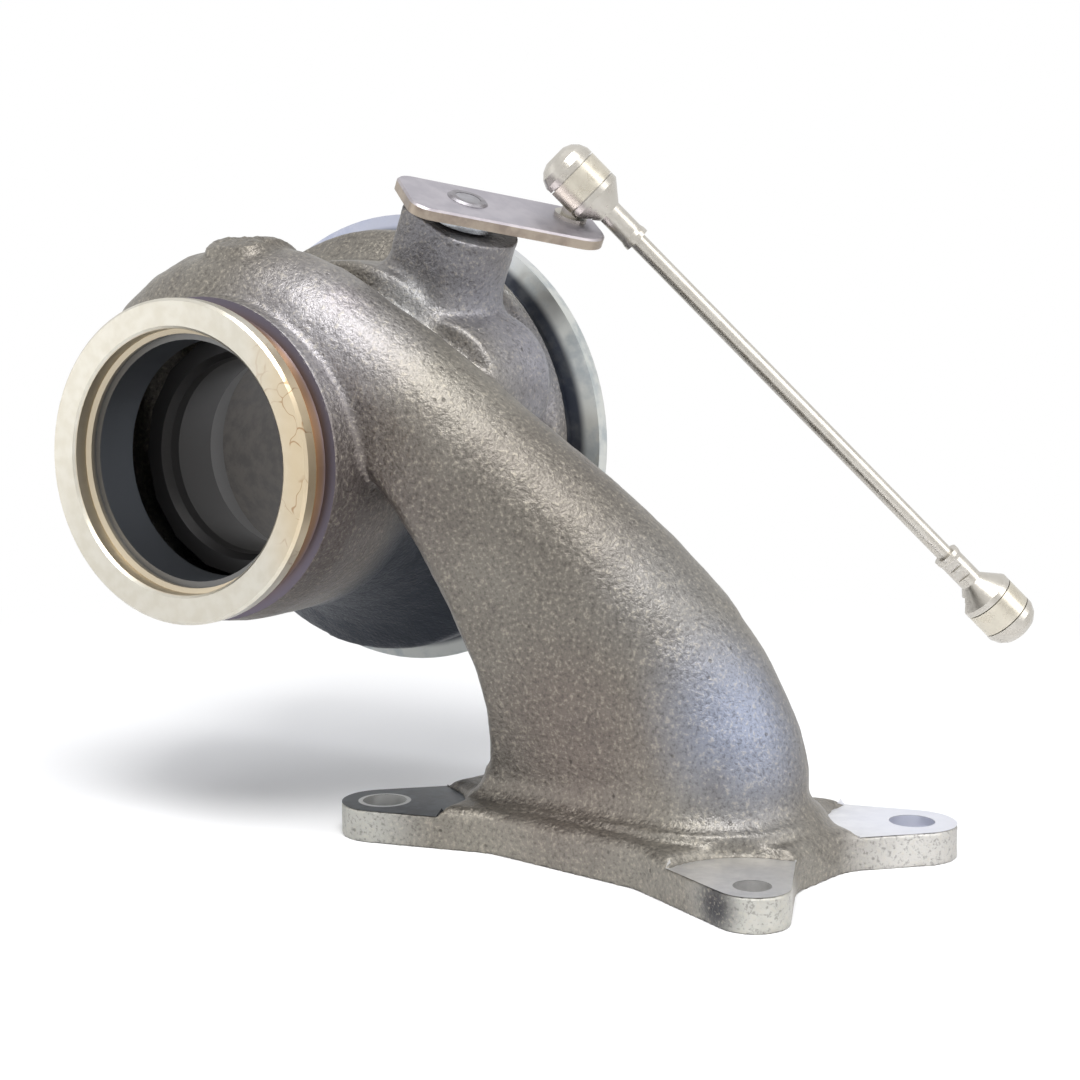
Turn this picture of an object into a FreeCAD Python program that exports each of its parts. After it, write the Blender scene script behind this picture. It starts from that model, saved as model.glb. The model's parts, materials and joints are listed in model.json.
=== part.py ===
import FreeCAD, Part
import math
import os

# Turbine housing of a turbocharger, with its wastegate valve, crank lever and link rod.
# Millimetres. X to the right along the inlet bend, Y along the turbine axis from the
# centre-housing side to the outlet side, Z up. The origin is the middle of the bolt
# pattern, on the gasket face of the inlet flange.

V = FreeCAD.Vector
X_AXIS = V(1, 0, 0)
Y_AXIS = V(0, 1, 0)
Z_AXIS = V(0, 0, 1)
ORIGIN = V(0, 0, 0)

# Fits between pieces
RUNNING_FIT = 0.05
PRESS_FIT = 0.02
SIDE_GAP = 0.3
CAST_WALL = 4.2
OVERCUT = 1.0
SAME = 0.01

# Inlet flange
BOLT_SPACING_LONG = 110.9
BOLT_SPACING_SHORT = 68.4
BOLT_HOLE_R = 5.5
DOWEL_HOLE_R = 4.2
LUG_R = 10.8
DOWEL_LUG_R = 8.4
FLANGE_YAW = -10.56
FLANGE_THICK = 10.4
LUG_THICK = 8.05
FLANGE_EDGE = 2.0
WAIST_HALF_LONG = 51.6
WAIST_HALF_SHORT = 32.0
WAIST_FLAT_LONG = 22.0
WAIST_FLAT_SHORT = 11.0
WAIST_FILLET_R = 14.0
SPOTFACE_R = 21.0
DOWEL_SPOTFACE_R = 22.0

# Inlet duct, as stations: inner side x and z, tilt of the section, its width,
# front y, back y, flat share of the width, share of the flange's yaw that is left
DUCT_STATIONS = [
    (-35.8, 4.0, 0, 80.0, -21.0, 21.0, 0.68, 1.0),
    (-35.2, 12.0, 2, 79.0, -21.0, 21.0, 0.67, 1.0),
    (-33.5, 22.0, 6, 76.0, -21.5, 21.0, 0.66, 0.8),
    (-33.8, 39.0, 17, 63.5, -24.5, 18.5, 0.64, 0.5),
    (-41.0, 58.0, 31, 49.5, -27.5, 13.5, 0.62, 0.2),
    (-49.5, 75.5, 43, 38.5, -30.5, 8.0, 0.58, 0.0),
    (-58.0, 88.0, 50, 34.0, -33.0, 3.0, 0.54, 0.0),
    (-71.0, 101.5, 52, 31.0, -35.0, 0.0, 0.48, 0.0),
]
DUCT_STEPS = 14
DUCT_CORNER = 3.0
CORNER_SHARE = 0.3
FOOT_RISE = 8.0
FOOT_FLARE = 5.0
FOOT_STEPS = 4
FOOT_SINK = 0.5
HOLLOW_BEVEL = 0.5

# Turbine axis, and axial stations counted from the near ring's face
AXIS_X = -101.7
AXIS_Z = 93.5
NEAR_FACE_Y = -52.8

# Scroll, as stations: angle from +X towards +Z, outer radius
SCROLL_STATIONS = [(53, 54.5), (80, 53.8), (110, 54.2), (140, 54.0), (170, 52.0),
                   (200, 49.0), (230, 45.8), (260, 42.6), (290, 39.6), (318, 37.0)]
SCROLL_STEPS = 24
SCROLL_FRONT = 14.2
SCROLL_BACK = 50.5
SCROLL_FLAT_SHARE = 0.36
SCROLL_CORE_R = 27.0
PASSAGE_CORE_R = 31.5
PASSAGE_STEPS = 12

# Near ring, towards the centre housing
PILOT_R = 32.6
PILOT_DEPTH = 4.2
PILOT_STEP = 1.2
STEP_R = PILOT_R - PILOT_STEP
STEP_DEPTH = 6.4
NEAR_WALL = 4.0
NEAR_BAND_HEIGHT = 3.4
NEAR_GROOVE_R = PILOT_R + NEAR_WALL
NEAR_RING_R = NEAR_GROOVE_R + NEAR_BAND_HEIGHT
NEAR_LAND = 3.8
NEAR_GROOVE_END = 8.0
NECK_R = 40.3
NECK_START = 11.0
NECK_BOW = 0.8
NECK_END = 20.0
HUB_CORE_R = 41.6
HUB_END = 47.5
BAND_CONE_ANGLE = 20.0
RING_CHAMFER = 0.7
BORE_R = 29.9
NOZZLE_START = 18.6
NOZZLE_END = 26.2
NOZZLE_REACH = 1.5
INDUCER_R = 26.8
SHROUD_R = 25.0
SHROUD_END = 31.0
SHROUD_BOW = 0.5
EXDUCER_END = 44.0
EXDUCER_EXIT_R = 28.5

# Outlet body and far ring
OUTLET_MOUTH_R = 53.8
OUTLET_MOUTH_START = 86.0
OUTLET_FLOOR = 53.5
OUTLET_FLOOR_R = 34.4
OUTLET_START = 49.5
OUTLET_START_R = OUTLET_FLOOR_R + CAST_WALL
OUTLET_BOW = 4.6
FAR_WALL = 3.0
FAR_GROOVE_R = OUTLET_MOUTH_R + FAR_WALL
FAR_GROOVE_END = 97.5
FAR_BAND_HEIGHT = 7.2
FAR_RING_R = FAR_GROOVE_R + FAR_BAND_HEIGHT
FAR_LAND = 5.2
SHOULDER_HEIGHT = 2.6
SHOULDER_R = FAR_GROOVE_R + SHOULDER_HEIGHT
SHOULDER_LAND = 4.5

# Chamber beside the outlet body, where the valve's arm swings
CHAMBER_R = 35.0
CHAMBER_INSET = 1.8
CHAMBER_BEARING = 40.0
CHAMBER_OVERRUN = 6.0

# Raised rough pad on top of the scroll
PAD_LONG = 22.0
PAD_WIDE = 17.0
PAD_RISE = 1.9
PAD_DEPTH = 12.0
PAD_SPREAD = 24.0
PAD_CORNER_R = 4.0
PAD_STATION = 33.0
PAD_ANGLE = 91.0

# Wastegate shaft, its boss and its port. Heights count along the shaft from the boss top
SHAFT_X = -57.8
SHAFT_Y = 9.0
SHAFT_Z = 152.8
SHAFT_LEAN_X = 25.0
SHAFT_LEAN_Y = -9.0
BOSS_R = 15.4
BOSS_FACET = 11.6
BOSS_FACET_BEARING = -102.0
BOSS_LENGTH = 34.0
BOSS_FLARE = 5.5
BOSS_FLARE_BOW = 1.6
BOSS_FLARE_TOP = -13.0
BOSS_FLARE_BOTTOM = -23.0
INNER_BOSS_R = 10.0
INNER_BOSS_END = -30.5
BUSHING_R = 6.5
BUSHING_PROUD = 0.6
SPINDLE_R = 4.0
SPINDLE_END_R = 3.3
SPINDLE_PROUD = 0.5
SEAL_GROOVE_DEPTH = 0.9
SEAL_RING_WIDTH = 1.2
SEAL_RING_HEIGHTS = (-8.0, -12.0)
ARM_HUB_HEIGHT = -37.5
ARM_HUB_R = 7.2
ARM_HUB_LENGTH = 12.0
ARM_WEB_HALF = 5.6
ARM_LENGTH = 18.0
ARM_THICK = 4.6
ARM_EYE_R = 6.6
ARM_EYE_FIT = 0.15
SEAT_OFFSET = 11.5
PORT_HOLE_R = 8.5
PORT_HOLE_LENGTH = 13.0
SEAT_LAND_R = 12.4
SEAT_BOSS_LENGTH = 5.0
SEAT_RISE = 0.8
VALVE_R = 11.5
VALVE_THICK = 3.4
VALVE_EDGE = 2.4
VALVE_EDGE_RISE = 0.8
VALVE_WASHER_R = 5.4
VALVE_WASHER_THICK = 0.4
VALVE_WASHER_GAP = 0.3
SEAT_CLEAR = 0.1
VALVE_LIFT = 0.1
VALVE_STEM_R = 3.2
VALVE_SPRING_HEIGHT = 0.9
VALVE_PLAY = 0.3
RETAINER_R = 5.6
RETAINER_THICK = 1.6
POCKET_R = 15.4
POCKET_WALL = 3.6
POCKET_STRAIGHT = 19.0
POCKET_TAPER = 12.0
POCKET_END_R = 7.0

# Crank lever, seen along the shaft
LEVER_THICK = 2.9
LEVER_LIFT = 3.4
LEVER_NEAR_SIDE = 13.0
LEVER_FAR_SIDE = 10.3
LEVER_TAIL = 17.6
LEVER_REACH = 36.9
LEVER_TAIL_CORNER_R = 5.0
LEVER_END_CORNER_R = 8.5
LEVER_BEARING = 52.0
LEVER_EDGE = 0.5
WASHER_R = 9.0
WASHER_CHAMFER = 0.4
WASHER_GAP = 0.1
WASHER_BORE_GAP = 0.3
WELD_R = 5.4
WELD_RISE = 0.6
WELD_GAP = 0.05

# Ball stud and link rod
STUD_BEARING = 55.4
STUD_RADIUS = 29.4
BALL_HEIGHT = 16.0
BALL_R = 4.75
STUD_SHANK_R = 2.8
STUD_COLLAR_R = 4.4
STUD_COLLAR_THICK = 0.9
STUD_TAIL_R = 4.0
STUD_TAIL_RISE = 1.2
ROD_DIRECTION = V(0.5824, 0.4073, -0.7035)
ROD_LENGTH = 160.5
ROD_R = 2.3
SOCKET_R = 7.5
SLEEVE_R = 6.55
SOCKET_BORE_R = 5.8
SLEEVE_TUCK = 2.8
SOCKET_FLOOR = 6.4
SOCKET_FLOOR_CONE = 1.0
SEAT_OUTER_R = 5.6
SEAT_INNER_R = 4.85
SEAT_END_OUTER_R = 4.35
SEAT_END_INNER_R = 3.4
SEAT_BELT = 1.2
SEAT_HALF_LENGTH = 3.7
BAND_HALF_LENGTH = 3.4
SOCKET_SEAM = 0.3
CAP_LENGTH = 6.0
CAP_ROUND = 4.4
CAP_BOW = 0.9
CAP_HOLLOW = 4.3
CAP_BEVEL = 1.2
CONE_LENGTH = 6.8
CONE_SHOULDER = 1.6
SOCKET_NECK_R = 3.3
NECK_LENGTH = 10.3
COLLAR_LENGTH = 1.2
COLLAR_R = 3.6
DIMPLE_LENGTH = 2.6
DIMPLE_DEPTH = 0.7
DIMPLE_PLACES = (14.4, 17.8)
SLOT_HALF_WIDTH = 3.4
SLOT_BACK = 4.6
SLOT_FRONT = 8.6
ROD_TUCK = 7.6
SPRING_RISE = 0.8
SPRING_THICK = 0.5
SPRING_EYE_R = 2.0
SPRING_R = 4.6


def in_plane(origin, z_dir, x_dir):
    """Placement of a local frame: local Z along z_dir and local X near x_dir."""
    z = V(z_dir).normalize()
    y = z.cross(x_dir).normalize()
    x = y.cross(z)
    m = FreeCAD.Matrix(x.x, y.x, z.x, origin.x,
                       x.y, y.y, z.y, origin.y,
                       x.z, y.z, z.z, origin.z,
                       0, 0, 0, 1)
    return FreeCAD.Placement(m)


def placed(shape, placement):
    return shape.transformed(placement.toMatrix())


def line(a, b):
    return Part.LineSegment(a, b).toShape()


def arc(a, m, b):
    return Part.Arc(a, m, b).toShape()


def turbine_point(station, radius, angle):
    """Point at an axial station, radius and angle (degrees, from +X towards +Z)."""
    a = math.radians(angle)
    return V(AXIS_X + radius * math.cos(a), NEAR_FACE_Y + station,
             AXIS_Z + radius * math.sin(a))


def bowed(start, end, bow, steps):
    """Points after start on a line to end that bows out sideways by the given depth."""
    run = (end[0] - start[0], end[1] - start[1])
    length = math.hypot(*run)
    side = (-run[1] / length, run[0] / length)
    return [(start[0] + run[0] * f + side[0] * 4 * bow * f * (1 - f),
             start[1] + run[1] * f + side[1] * 4 * bow * f * (1 - f))
            for f in (k / steps for k in range(1, steps + 1))]


def turned_housing(*profile):
    """Solid of revolution about the turbine axis, from (station, radius) points."""
    points = [turbine_point(station, radius, 0) for station, radius in profile]
    wire = Part.makePolygon(points + points[:1])
    return Part.Face(wire).revolve(V(AXIS_X, 0, AXIS_Z), Y_AXIS, 360)


def turned(*profile):
    """Solid of revolution about local Z, from (radius, height) points."""
    points = [V(radius, 0, height) for radius, height in profile]
    wire = Part.makePolygon(points + points[:1])
    return Part.Face(wire).revolve(ORIGIN, Z_AXIS, 360)


def disc(radius, bottom, top, hole=0.0):
    solid = Part.makeCylinder(radius, top - bottom, V(0, 0, bottom))
    if hole:
        solid = solid.cut(Part.makeCylinder(hole, top - bottom, V(0, 0, bottom)))
    return solid


def fused(first, *others):
    return first.multiFuse(list(others)).removeSplitter()


# Scroll and duct


def between(rows, count):
    """Stations spread evenly over a smooth curve through the given rows."""
    last = len(rows) - 1
    result = []
    for k in range(count):
        u = k * last / (count - 1)
        i = min(int(u), last - 1)
        f = u - i
        around = [rows[max(i - 1, 0)], rows[i], rows[i + 1], rows[min(i + 2, last)]]
        result.append(tuple(
            b + 0.5 * f * (c - a + f * (2 * a - 5 * b + 4 * c - d + f * (3 * (b - c) + d - a)))
            for a, b, c, d in zip(*around)))
    return result


def rounded(inner, across, deep, width, depth, flat, corner):
    """D-shaped section: flat sides, a round outer side and two bevelled inner corners.

    inner is the middle of the inner side, across points to the outer side and deep
    runs from the front side to the back side.
    """
    half = depth / 2

    def at(s, d):
        return inner + across * s + deep * d

    return Part.Wire([
        line(at(corner, -half), at(flat, -half)),
        arc(at(flat, -half), at(width, 0), at(flat, half)),
        line(at(flat, half), at(corner, half)),
        line(at(corner, half), at(0, half - corner)),
        line(at(0, half - corner), at(0, corner - half)),
        line(at(0, corner - half), at(corner, -half)),
    ])


def bevelled(inner, across, deep, width, depth):
    """Section of the hollow: straight sides and four bevelled corners."""
    half = depth / 2
    outer = min(half, width / 2) * HOLLOW_BEVEL
    inside = min(DUCT_CORNER, width * CORNER_SHARE)
    points = [(inside, -half), (width - outer, -half), (width, outer - half),
              (width, half - outer), (width - outer, half), (inside, half),
              (0, half - inside), (0, inside - half)]
    corners = [inner + across * s + deep * d for s, d in points]
    return Part.makePolygon(corners + corners[:1])


def duct_place(row, wall):
    """Inner middle, two directions and two sizes of a duct section inset by a wall."""
    x, z, tilt, width, front, back, share, yaw_left = row
    turn = FreeCAD.Rotation(Z_AXIS, FLANGE_YAW * yaw_left)
    a = math.radians(tilt)
    across = turn.multVec(V(math.cos(a), 0, math.sin(a)))
    deep = turn.multVec(Y_AXIS)
    inner = turn.multVec(V(x, (front + back) / 2, z)) + across * wall
    return inner, across, deep, width - 2 * wall, back - front - 2 * wall


def scroll_place(angle, radius, wall, core):
    a = math.radians(angle)
    across = V(math.cos(a), 0, math.sin(a))
    middle = turbine_point((SCROLL_FRONT + SCROLL_BACK) / 2, core, angle)
    return middle, across, Y_AXIS, radius - wall - core, SCROLL_BACK - SCROLL_FRONT - 2 * wall


def duct_outside(row, swell):
    return rounded(*duct_place(row, -swell), row[3] * row[6] + swell, DUCT_CORNER)


def scroll_outside(angle, radius):
    width = radius - SCROLL_CORE_R
    return rounded(*scroll_place(angle, radius, 0, SCROLL_CORE_R),
                   width * SCROLL_FLAT_SHARE, min(DUCT_CORNER, width * CORNER_SHARE))


def scroll_body():
    wires = [duct_outside(row, 0) for row in between(DUCT_STATIONS, DUCT_STEPS)]
    wires += [scroll_outside(*row) for row in between(SCROLL_STATIONS, SCROLL_STEPS)]
    return Part.makeLoft(wires, True, True)


def duct_foot():
    """Flare where the duct meets the flange, round a quarter circle in profile."""
    wires = []
    for k in range(FOOT_STEPS + 1):
        a = math.radians(90 * k / FOOT_STEPS)
        height = FLANGE_THICK - FOOT_SINK + FOOT_RISE * (1 - math.cos(a))
        row = (DUCT_STATIONS[0][0], height) + DUCT_STATIONS[1][2:]
        wires.append(duct_outside(row, FOOT_FLARE * (1 - math.sin(a))))
    return Part.makeLoft(wires, True, True)


def gas_passage():
    """The hollow from the inlet port through the duct to the tongue of the scroll."""
    first = (DUCT_STATIONS[0][0], -OVERCUT) + DUCT_STATIONS[0][2:]
    rows = [first] + between(DUCT_STATIONS[1:], PASSAGE_STEPS)
    wires = [bevelled(*duct_place(row, CAST_WALL)) for row in rows]
    wires += [bevelled(*scroll_place(angle, radius, CAST_WALL, PASSAGE_CORE_R))
              for angle, radius in between(SCROLL_STATIONS[:-1], PASSAGE_STEPS)]
    return Part.makeLoft(wires, True, True)


# Inlet flange


def bolt_places():
    """Hole centre, hole radius, lug radius and spotface radius of the four lugs."""
    places = []
    for sx, sy in ((1, -1), (1, 1), (-1, 1), (-1, -1)):
        dowel = (sx, sy) == (1, -1)
        places.append((sx, sy, sx * BOLT_SPACING_LONG / 2, sy * BOLT_SPACING_SHORT / 2,
                       DOWEL_HOLE_R if dowel else BOLT_HOLE_R,
                       DOWEL_LUG_R if dowel else LUG_R,
                       DOWEL_SPOTFACE_R if dowel else SPOTFACE_R))
    return places


def tangent_point(outside, centre, radius, side):
    """Where a line from outside touches the circle, on the side that is furthest out."""
    away = outside - centre
    base = math.atan2(away.y, away.x)
    spread = math.acos(radius / away.Length)
    points = [centre + V(radius * math.cos(base + s), radius * math.sin(base + s), 0)
              for s in (spread, -spread)]
    return max(points, key=lambda p: p.dot(side))


def flange_plate():
    edges = []
    corners = []
    for sx, sy, x, y, hole_r, lug_r, spot_r in bolt_places():
        centre = V(x, y, 0)
        on_long = V(sx * WAIST_FLAT_LONG, sy * WAIST_HALF_SHORT, 0)
        on_short = V(sx * WAIST_HALF_LONG, sy * WAIST_FLAT_SHORT, 0)
        long_touch = tangent_point(on_long, centre, lug_r, V(0, sy, 0))
        short_touch = tangent_point(on_short, centre, lug_r, V(sx, 0, 0))
        tip = centre + (long_touch + short_touch - centre * 2).normalize() * lug_r
        run = [on_long, long_touch, tip, short_touch, on_short]
        if sx * sy > 0:
            run.reverse()
        corners.append(run)
    for k, run in enumerate(corners):
        edges.append(line(run[0], run[1]))
        edges.append(arc(run[1], run[2], run[3]))
        edges.append(line(run[3], run[4]))
        edges.append(line(run[4], corners[(k + 1) % 4][0]))
    plate = Part.Face(Part.Wire(edges)).extrude(V(0, 0, FLANGE_THICK))
    waist = [p for run in corners for p in (run[0], run[4])]
    bends = [e for e in plate.Edges
             if all(min((V(v.X, v.Y, 0) - p).Length for p in waist) < SAME for v in e.Vertexes)
             and abs(e.Vertexes[0].Z - e.Vertexes[-1].Z) > FLANGE_THICK / 2]
    plate = plate.makeFillet(WAIST_FILLET_R, bends)
    rim = [e for e in plate.Edges if all(abs(v.Z - FLANGE_THICK) < SAME for v in e.Vertexes)]
    return plate.makeChamfer(FLANGE_EDGE, rim)


def flange_cuts():
    cuts = []
    for sx, sy, x, y, hole_r, lug_r, spot_r in bolt_places():
        cuts.append(Part.makeCylinder(hole_r, LUG_THICK + 2 * OVERCUT, V(x, y, -OVERCUT)))
        cuts.append(Part.makeCylinder(spot_r, FLANGE_THICK, V(x, y, LUG_THICK)))
    return cuts


def flange_turned(shape):
    return shape.transformed(FreeCAD.Placement(
        ORIGIN, FreeCAD.Rotation(Z_AXIS, FLANGE_YAW)).toMatrix())


# Rings, neck and outlet body


def turned_body():
    near_cone = NEAR_BAND_HEIGHT * math.tan(math.radians(BAND_CONE_ANGLE))
    far_cone = FAR_BAND_HEIGHT * math.tan(math.radians(BAND_CONE_ANGLE))
    far_land = FAR_GROOVE_END + far_cone
    shoulder_end = OUTLET_MOUTH_START + SHOULDER_LAND
    return turned_housing(
        (0, 0),
        (0, NEAR_RING_R - RING_CHAMFER),
        (RING_CHAMFER, NEAR_RING_R),
        (NEAR_LAND, NEAR_RING_R),
        (NEAR_LAND + near_cone, NEAR_GROOVE_R),
        (NEAR_GROOVE_END, NEAR_GROOVE_R),
        *bowed((NEAR_GROOVE_END, NEAR_GROOVE_R), (NECK_START, NECK_R), -NECK_BOW, 2),
        (NECK_END, HUB_CORE_R),
        (HUB_END, HUB_CORE_R),
        (OUTLET_START, OUTLET_START_R),
        *bowed((OUTLET_START, OUTLET_START_R), (OUTLET_MOUTH_START, SHOULDER_R), -OUTLET_BOW, 4),
        (shoulder_end, SHOULDER_R),
        (shoulder_end + SHOULDER_HEIGHT, FAR_GROOVE_R),
        (FAR_GROOVE_END, FAR_GROOVE_R),
        (far_land, FAR_RING_R),
        (far_land + FAR_LAND - RING_CHAMFER, FAR_RING_R),
        (far_land + FAR_LAND, FAR_RING_R - RING_CHAMFER),
        (far_land + FAR_LAND, 0))


def turned_bore():
    far_cone = FAR_BAND_HEIGHT * math.tan(math.radians(BAND_CONE_ANGLE))
    far_face = FAR_GROOVE_END + far_cone + FAR_LAND
    throat_r = PASSAGE_CORE_R + NOZZLE_REACH
    return turned_housing(
        (-OVERCUT, 0),
        (-OVERCUT, PILOT_R + RING_CHAMFER + OVERCUT),
        (RING_CHAMFER, PILOT_R),
        (PILOT_DEPTH, PILOT_R),
        (PILOT_DEPTH + RING_CHAMFER, STEP_R),
        (STEP_DEPTH, STEP_R),
        (STEP_DEPTH, BORE_R),
        (NOZZLE_START, BORE_R),
        (NOZZLE_START, throat_r),
        (NOZZLE_END, throat_r),
        (NOZZLE_END, INDUCER_R),
        *bowed((NOZZLE_END, INDUCER_R), (SHROUD_END, SHROUD_R), -SHROUD_BOW, 2),
        (EXDUCER_END, SHROUD_R),
        (OUTLET_FLOOR, EXDUCER_EXIT_R),
        (OUTLET_FLOOR, OUTLET_FLOOR_R),
        *bowed((OUTLET_FLOOR, OUTLET_FLOOR_R), (OUTLET_MOUTH_START, OUTLET_MOUTH_R),
               -OUTLET_BOW, 4),
        (far_face - RING_CHAMFER, OUTLET_MOUTH_R),
        (far_face + OVERCUT, OUTLET_MOUTH_R + RING_CHAMFER + OVERCUT),
        (far_face + OVERCUT, 0))


def wastegate_chamber(start, radius):
    foot = turbine_point(start, OUTLET_MOUTH_R - CHAMBER_R - CHAMBER_INSET, CHAMBER_BEARING)
    length = OUTLET_MOUTH_START + CHAMBER_OVERRUN - start
    return Part.makeCylinder(radius, length, foot, Y_AXIS)


def scroll_pad():
    """Low pad that follows the scroll's crest, cut out by an upright prism."""
    top = turbine_point(PAD_STATION, SCROLL_STATIONS[0][1] + PAD_RISE, PAD_ANGLE)
    prism = Part.makeBox(PAD_WIDE, PAD_LONG, PAD_DEPTH,
                         V(-PAD_WIDE / 2, -PAD_LONG / 2, -PAD_DEPTH))
    upright = [e for e in prism.Edges
               if abs(e.Vertexes[0].Z - e.Vertexes[-1].Z) > PAD_DEPTH / 2]
    prism = prism.makeFillet(PAD_CORNER_R, upright)
    out = top - turbine_point(PAD_STATION, 0, PAD_ANGLE)
    crest = [(angle, radius + PAD_RISE)
             for angle, radius in between(SCROLL_STATIONS, SCROLL_STEPS)
             if abs(angle - PAD_ANGLE) < PAD_SPREAD]
    raised = Part.makeLoft([scroll_outside(*row) for row in crest], True, True)
    return raised.common(placed(prism, in_plane(top, out, X_AXIS)))


# Wastegate


def shaft_frame():
    lean = V(math.tan(math.radians(SHAFT_LEAN_X)), math.tan(math.radians(SHAFT_LEAN_Y)), 1)
    up = lean.normalize()
    opening = (Y_AXIS - up * up.y).normalize()
    return in_plane(V(SHAFT_X, SHAFT_Y, SHAFT_Z), up, opening.cross(up))


SHAFT = shaft_frame()
SHAFT_UP = SHAFT.Rotation.multVec(Z_AXIS)
ARM_DIR = SHAFT.Rotation.multVec(X_AXIS)
OPEN_DIR = SHAFT.Rotation.multVec(Y_AXIS)
PORT_CENTRE = SHAFT.multVec(V(ARM_LENGTH, -SEAT_OFFSET, ARM_HUB_HEIGHT))
PORT = in_plane(PORT_CENTRE, OPEN_DIR, ARM_DIR)


def shaft_boss():
    barrel = turned(
        (0, 0), (BOSS_R, 0), (BOSS_R, BOSS_FLARE_TOP),
        *bowed((BOSS_R, BOSS_FLARE_TOP), (BOSS_R + BOSS_FLARE, BOSS_FLARE_BOTTOM),
               -BOSS_FLARE_BOW, 2),
        (BOSS_R, -BOSS_LENGTH), (0, -BOSS_LENGTH))
    facet = Part.makeBox(4 * BOSS_R, BOSS_R, -BOSS_FLARE_BOTTOM,
                         V(-2 * BOSS_R, BOSS_FACET, BOSS_FLARE_BOTTOM))
    facet.rotate(ORIGIN, Z_AXIS, BOSS_FACET_BEARING - 90)
    return placed(barrel.cut(facet), SHAFT)


def pocket(radius, end_radius, start):
    return placed(turned((0, start), (radius, start), (radius, POCKET_STRAIGHT),
                         (end_radius, POCKET_STRAIGHT + POCKET_TAPER),
                         (0, POCKET_STRAIGHT + POCKET_TAPER)), PORT)


def turbine_housing():
    outside = fused(
        scroll_body(),
        flange_turned(flange_plate()),
        duct_foot(),
        turned_body(),
        scroll_pad(),
        shaft_boss(),
        wastegate_chamber(OUTLET_START, CHAMBER_R + CAST_WALL),
        pocket(POCKET_R + POCKET_WALL, POCKET_END_R + POCKET_WALL, -SEAT_BOSS_LENGTH))
    hollow = fused(turned_bore(), gas_passage(), wastegate_chamber(OUTLET_FLOOR, CHAMBER_R),
                   pocket(POCKET_R, POCKET_END_R, -SEAT_RISE))
    inner_boss = placed(disc(INNER_BOSS_R, INNER_BOSS_END, BOSS_FLARE_BOTTOM), SHAFT)
    seat = placed(disc(SEAT_LAND_R, -SEAT_BOSS_LENGTH, 0), PORT)
    shell = fused(outside.cut(hollow), inner_boss, seat.cut(gas_passage()))
    port_hole = placed(disc(PORT_HOLE_R, -PORT_HOLE_LENGTH, OVERCUT), PORT)
    bore = placed(disc(BUSHING_R + PRESS_FIT, -BOSS_LENGTH, OVERCUT), SHAFT)
    return shell.cut([port_hole, bore] + [flange_turned(c) for c in flange_cuts()])


def shaft_bushing():
    return placed(disc(BUSHING_R, INNER_BOSS_END, BUSHING_PROUD, SPINDLE_R + RUNNING_FIT), SHAFT)


# Spindle, lever and valve. All of them are drawn along the shaft


LEVER_TOP = LEVER_LIFT + LEVER_THICK
HUB_TOP = INNER_BOSS_END - SIDE_GAP
HUB_BOTTOM = HUB_TOP - ARM_HUB_LENGTH
ARM_FRONT = -SEAT_OFFSET + VALVE_LIFT + VALVE_THICK + VALVE_SPRING_HEIGHT


def wastegate_spindle():
    profile = [(0, HUB_BOTTOM), (SPINDLE_R, HUB_BOTTOM)]
    for height in reversed(SEAL_RING_HEIGHTS):
        low = height - SEAL_RING_WIDTH / 2 - RUNNING_FIT
        high = height + SEAL_RING_WIDTH / 2 + RUNNING_FIT
        neck = SPINDLE_R - SEAL_GROOVE_DEPTH
        profile += [(SPINDLE_R, low), (neck, low), (neck, high), (SPINDLE_R, high)]
    profile += [(SPINDLE_R, LEVER_LIFT), (SPINDLE_END_R, LEVER_LIFT),
                (SPINDLE_END_R, LEVER_TOP + SPINDLE_PROUD), (0, LEVER_TOP + SPINDLE_PROUD)]
    return placed(turned(*profile), SHAFT)


def shaft_seal_rings():
    neck = SPINDLE_R - SEAL_GROOVE_DEPTH + RUNNING_FIT
    rings = [disc(SPINDLE_R, height - SEAL_RING_WIDTH / 2, height + SEAL_RING_WIDTH / 2, neck)
             for height in SEAL_RING_HEIGHTS]
    return placed(Part.makeCompound(rings), SHAFT)


def thrust_washer():
    hole = SPINDLE_R + WASHER_BORE_GAP
    ring = turned((hole, BUSHING_PROUD), (WASHER_R, BUSHING_PROUD),
                  (WASHER_R, LEVER_LIFT - WASHER_CHAMFER - WASHER_GAP),
                  (WASHER_R - WASHER_CHAMFER, LEVER_LIFT - WASHER_GAP),
                  (hole, LEVER_LIFT - WASHER_GAP))
    return placed(ring, SHAFT)


def crank_lever():
    """Stamped plate in the strip's own frame, long side along local X."""
    corners = [(-LEVER_TAIL, -LEVER_NEAR_SIDE), (LEVER_REACH, -LEVER_NEAR_SIDE),
               (LEVER_REACH, LEVER_FAR_SIDE), (-LEVER_TAIL, LEVER_FAR_SIDE)]
    plate = Part.Face(Part.makePolygon([V(x, y, LEVER_LIFT) for x, y in corners + corners[:1]]))
    plate = plate.extrude(V(0, 0, LEVER_THICK))
    for x, radius in ((-LEVER_TAIL, LEVER_TAIL_CORNER_R), (LEVER_REACH, LEVER_END_CORNER_R)):
        corner = [e for e in plate.Edges
                  if all(abs(v.X - x) < SAME for v in e.Vertexes)
                  and abs(e.Vertexes[0].Z - e.Vertexes[-1].Z) > LEVER_THICK / 2]
        plate = plate.makeFillet(radius, corner)
    rim = [e for e in plate.Edges if all(abs(v.Z - LEVER_TOP) < SAME for v in e.Vertexes)]
    plate = plate.makeChamfer(LEVER_EDGE, rim)
    plate.rotate(ORIGIN, Z_AXIS, LEVER_BEARING)
    shaft_hole = disc(SPINDLE_END_R + PRESS_FIT, LEVER_LIFT - OVERCUT, LEVER_TOP + OVERCUT)
    stud_hole = disc(STUD_SHANK_R + PRESS_FIT, LEVER_LIFT - OVERCUT, LEVER_TOP + OVERCUT)
    return placed(plate.cut([shaft_hole, stud_hole.translated(STUD_PLACE)]), SHAFT)


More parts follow.
